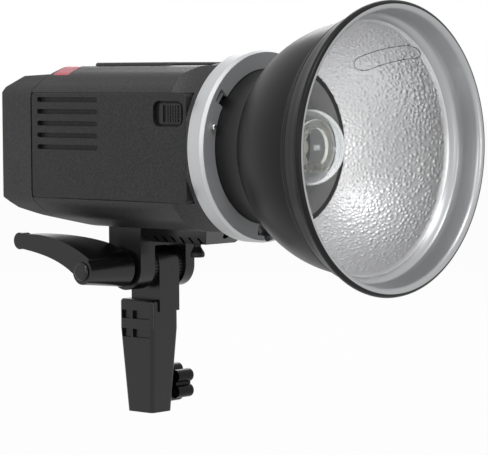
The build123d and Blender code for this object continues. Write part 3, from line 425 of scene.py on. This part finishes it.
class StrobeInsides(bpy.types.Operator):
    """Boards, cells, coils and the lamp's ceramic and glass"""

    bl_idname = "strobe.insides"
    bl_label = "Insides and lamp"

    def execute(self, context):
        coat_nodes(
            coated("solder_mask_board", "#17502E", 0.35, coat=0.4),
            "control_board", "main_board", "inverter_board",
        )
        coat_nodes(coated("enamelled_copper", "#B5652E", 0.3, metallic=1.0), "inductors")
        coat_nodes(coated("shrink_film", "#2F63A0", 0.25, coat=0.5), "battery_cells")
        coat_nodes(coated("steatite_ceramic", "#E6E4DE", 0.35, speck=0.002), "lamp_base")
        coat_nodes(clear("borosilicate_glass", "#F7FAFA", 0.0, 1.47), "glass_dome")
        coat_nodes(clear("quartz_glass", "#F6F2EA", 0.03, 1.46, 0.85), "flash_tube")
        coat_nodes(clear("frosted_glass", "#F4EFE4", 0.4, 1.5, 0.6), "modelling_lamp")
        return {"FINISHED"}


def round_wall(turn, grow=0.0):
    """Radius and depth behind the rim of the bowl's round stretch, at a turn from its wide end."""
    return (ROUND_RADIUS + grow) * cos(turn), ROUND_START + ROUND_DEPTH * sin(turn)


def bowl_section():
    """Closed section of the bowl: (radius, depth behind the rim, how deeply it is hammered)."""
    throat = asin(ROUND_CUT / ROUND_DEPTH)
    line = []
    for index in range(INNER_ROWS + 1):
        radius, depth = round_wall(throat * (1 - index / INNER_ROWS))
        struck = 1.0 if index < INNER_ROWS - 1 else 0.4
        line.append((max(radius, THROAT_RADIUS), depth, struck))
    line += [(radius * MM, depth * MM, 0.0) for radius, depth in RIM_BEAD + RIM_BACK]
    for index in range(1, OUTER_ROWS + 1):
        line.append((*round_wall(throat * index / OUTER_ROWS, SHEET), 0.0))
    return line


def hammer_mark(radius, angle, depth, sizes):
    """Height of the hammered surface: a cushion in each cell of an irregular pattern."""
    spot = Vector(in_head(radius, angle, RIM_Y + depth)) / sizes.hammer_cell
    near = noise.voronoi(spot)[0]
    return sizes.hammer_depth * (min(1.0, (near[1] - near[0]) * 1.6) - 0.5)


def slot_outline():
    """Closed outline of the slot's cover, round at both ends: (depth behind the rim, across)."""
    straight = SLOT_FAR - SLOT_NEAR - 2 * SLOT_HALF
    path = []
    for way, centre in ((1, SLOT_FAR - SLOT_HALF), (-1, SLOT_NEAR + SLOT_HALF)):
        for step in range(SLOT_STEPS + 1):
            turn = pi * step / SLOT_STEPS
            path.append((centre + way * SLOT_HALF * sin(turn), way * SLOT_HALF * cos(turn)))
        for step in range(SLOT_SIDE_STEPS + 1):
            path.append((centre - way * straight * step / SLOT_SIDE_STEPS, -way * SLOT_HALF))
    return path


class StrobeBowl(bpy.types.Operator):
    """Reflector bowl: hammered inside, lacquered outside, with a rolled rim and a covered slot"""

    bl_idname = "strobe.bowl"
    bl_label = "Reflector bowl"

    def execute(self, context):
        sizes = context.scene.strobe_sizes
        lacquer = context.scene.strobe_colours.lacquer
        silver, _, shader = surface("hammered_aluminium", Metallic=1.0, Roughness=0.4)
        shader.inputs["Base Color"].default_value = linear("#E4E4E5")
        bright = turned("spun_aluminium", "#ADAEAF", 0.38, 1.1 * MM, 0.3, 0.04)
        black = coated("satin_black_lacquer_spun", lacquer, 0.36, strength=0.1, shine=0.22)
        line = bowl_section()
        points = []
        for radius, depth, struck in line:
            for step in range(AROUND):
                angle = 2 * pi * step / AROUND
                raised = struck * hammer_mark(radius, angle, depth, sizes) if struck else 0.0
                points.append(in_head(radius + raised, angle, RIM_Y + depth))
        faces, finish = self.rings(len(line))
        bowl = mesh_piece("hammered_bowl", points, faces, "reflector", [silver, bright, black])
        bowl.data.polygons.foreach_set("material_index", finish)
        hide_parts("reflector_bowl", "slot_cover")
        self.seams(coated("seam_shadow", "#3A3A3B", 0.5, metallic=0.6))
        return {"FINISHED"}

    def rings(self, rows):
        """Faces between neighbouring rows, and each face's finish: hammered, spun or lacquered."""
        hammered_rows = INNER_ROWS + 1
        silver_rows = hammered_rows + len(RIM_BEAD) - LACQUERED_BEAD
        faces = []
        finish = []
        for row in range(rows):
            after = (row + 1) % rows
            if row < hammered_rows or after == 0:
                coat = 0
            elif row < silver_rows:
                coat = 1
            else:
                coat = 2
            for step in range(AROUND):
                side = (step + 1) % AROUND
                faces.append(
                    (row * AROUND + step, row * AROUND + side, after * AROUND + side, after * AROUND + step)
                )
                finish.append(coat)
        return faces, finish

    def seams(self, finish):
        """Fine joint line round the cover of the umbrella slot, inside and outside."""
        for name, grow, wire in (
            ("slot_seam_inside", -0.05 * MM, 0.22 * MM),
            ("slot_seam_outside", SHEET + 0.02 * MM, 0.2 * MM),
        ):
            curve = bpy.data.curves.new(name, "CURVE")
            curve.dimensions = "3D"
            curve.bevel_depth = wire
            curve.bevel_resolution = 2
            outline = slot_outline()
            spline = curve.splines.new("POLY")
            spline.points.add(len(outline) - 1)
            for point, (depth, across) in zip(spline.points, outline):
                height = max(0.0, (depth - ROUND_START) / ROUND_DEPTH)
                radius = ROUND_RADIUS * sqrt(max(0.0, 1 - height * height)) + grow
                spot = in_head(radius, SLOT_ANGLE + across / radius, RIM_Y + depth)
                point.co = (*spot, 1.0)
            spline.use_cyclic_u = True
            curve.materials.append(finish)
            made = bpy.data.objects.new(name, curve)
            bpy.context.scene.collection.objects.link(made)
            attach(made, "reflector")


# ---- stage ---------------------------------------------------------------------------------

# Name, place, size and power of each soft lamp, in metres and watts.
LAMPS = (
    ("key", (-0.9, -1.1, 2.0), (0.9, 0.9), 17.0),
    ("fill", (-2.2, -0.6, 0.7), (0.7, 1.2), 8.0),
    ("front", (-0.5, -2.4, 0.1), (0.8, 0.8), 8.0),
    ("rim", (1.6, 1.2, 1.3), (1.0, 1.0), 12.0),
)
LAMP_AIM = Vector((0, -0.05, 0.16))

# The camera stands front left at the head's height and looks a little down.
CAMERA_LENS = 184.43
SENSOR_WIDTH = 36.0
CAMERA_PLACE = Vector((-1.20935, -1.18850, 0.23440))
CAMERA_RIGHT = Vector((0.67268, -0.73990, -0.00666))
CAMERA_UP = Vector((0.05230, 0.03856, 0.99789))

FLOOR_HALF = 12.0
FLOOR_HEIGHT = -0.12
FLOOR_GREY = 0.86
SHADOW_KEPT = 0.04
SKY_STRENGTH = 0.30


class StrobeStage(bpy.types.Operator):
    """Floor, backdrop, soft lights and the camera"""

    bl_idname = "strobe.stage"
    bl_label = "Stage"

    def execute(self, context):
        scene = context.scene
        scene.view_settings.view_transform = "Standard"
        self.floor()
        self.sky(scene)
        for name, spot, size, power in LAMPS:
            lamp = bpy.data.lights.new(name, "AREA")
            lamp.shape = "RECTANGLE"
            lamp.size, lamp.size_y = size
            lamp.energy = power
            held = bpy.data.objects.new(name, lamp)
            held.location = spot
            held.rotation_euler = (LAMP_AIM - Vector(spot)).to_track_quat("-Z", "Y").to_euler()
            scene.collection.objects.link(held)
        camera = bpy.data.cameras.new("camera")
        camera.lens = CAMERA_LENS
        camera.sensor_width = SENSOR_WIDTH
        held = bpy.data.objects.new("camera", camera)
        back = CAMERA_RIGHT.cross(CAMERA_UP)
        turned_axes = Matrix((CAMERA_RIGHT, CAMERA_UP, back)).transposed().to_4x4()
        held.matrix_world = Matrix.Translation(CAMERA_PLACE) @ turned_axes
        scene.collection.objects.link(held)
        scene.camera = held
        return {"FINISHED"}

    def seen_white(self, tree, lit, keep):
        """Mixes a lit shader with plain white for camera, mirror and glass rays."""
        rays = add(tree, "ShaderNodeLightPath")
        white = add(tree, "ShaderNodeEmission", {"Color": (1, 1, 1, 1), "Strength": 1.0})
        first = add(
            tree, "ShaderNodeMath",
            links={0: rays.outputs["Is Camera Ray"], 1: rays.outputs["Is Glossy Ray"]},
            operation="MAXIMUM",
        )
        both = add(
            tree, "ShaderNodeMath",
            links={0: first.outputs[0], 1: rays.outputs["Is Transmission Ray"]},
            operation="MAXIMUM",
        )
        share = add(
            tree, "ShaderNodeMath", {1: 1.0 - keep}, {0: both.outputs[0]}, operation="MULTIPLY"
        )
        return add(
            tree, "ShaderNodeMixShader", links={0: share.outputs[0], 1: lit.outputs[0], 2: white.outputs[0]}
        )

    def floor(self):
        """Wide pale floor just under the lowest reach of the tilted head."""
        corners = [
            (east * FLOOR_HALF, north * FLOOR_HALF, FLOOR_HEIGHT)
            for east, north in ((-1, -1), (1, -1), (1, 1), (-1, 1))
        ]
        mesh = bpy.data.meshes.new("floor")
        mesh.from_pydata(corners, [], [(0, 1, 2, 3)])
        finish = bpy.data.materials.new("studio_floor")
        finish.use_nodes = True
        tree = finish.node_tree
        tree.nodes.remove(tree.nodes["Principled BSDF"])
        lit = add(tree, "ShaderNodeBsdfDiffuse", {"Color": (FLOOR_GREY, FLOOR_GREY, FLOOR_GREY, 1)})
        mixed = self.seen_white(tree, lit, SHADOW_KEPT)
        tree.links.new(mixed.outputs[0], tree.nodes["Material Output"].inputs["Surface"])
        mesh.materials.append(finish)
        made = bpy.data.objects.new("floor", mesh)
        bpy.context.scene.collection.objects.link(made)

    def sky(self, scene):
        """Soft grey light from all round, seen as white."""
        world = bpy.data.worlds.new("studio")
        world.use_nodes = True
        tree = world.node_tree
        soft = tree.nodes["Background"]
        soft.inputs["Color"].default_value = (1, 1, 1, 1)
        soft.inputs["Strength"].default_value = SKY_STRENGTH
        mixed = self.seen_white(tree, soft, 0.0)
        tree.links.new(mixed.outputs[0], tree.nodes["World Output"].inputs["Surface"])
        scene.world = world


class StrobePanel(bpy.types.Panel):
    """Lists the strobe's operators and settings"""

    bl_idname = "VIEW3D_PT_strobe"
    bl_label = "Strobe"
    bl_space_type = "VIEW_3D"
    bl_region_type = "UI"
    bl_category = "Strobe"

    def draw(self, context):
        for group in (context.scene.strobe_sizes, context.scene.strobe_colours):
            for name in group.__annotations__:
                self.layout.prop(group, name)
        for operator in OPERATORS:
            self.layout.operator(operator.bl_idname)


OPERATORS = (StrobePlastics, StrobeMetals, StrobeInsides, StrobeBowl, StrobeStage)
CLASSES = (StrobeSizes, StrobeColours, *OPERATORS, StrobePanel)


def register():
    """Registers the classes and attaches the settings to the scene."""
    for item in CLASSES:
        bpy.utils.register_class(item)
    bpy.types.Scene.strobe_sizes = bpy.props.PointerProperty(type=StrobeSizes)
    bpy.types.Scene.strobe_colours = bpy.props.PointerProperty(type=StrobeColours)


def unregister():
    """Takes the settings and the classes away again."""
    del bpy.types.Scene.strobe_colours
    del bpy.types.Scene.strobe_sizes
    for item in reversed(CLASSES):
        bpy.utils.unregister_class(item)


def main():
    """Builds the looks and the stage."""
    register()
    bpy.ops.strobe.plastics()
    bpy.ops.strobe.metals()
    bpy.ops.strobe.insides()
    bpy.ops.strobe.bowl()
    bpy.ops.strobe.stage()


if __name__ == "__main__":
    main()
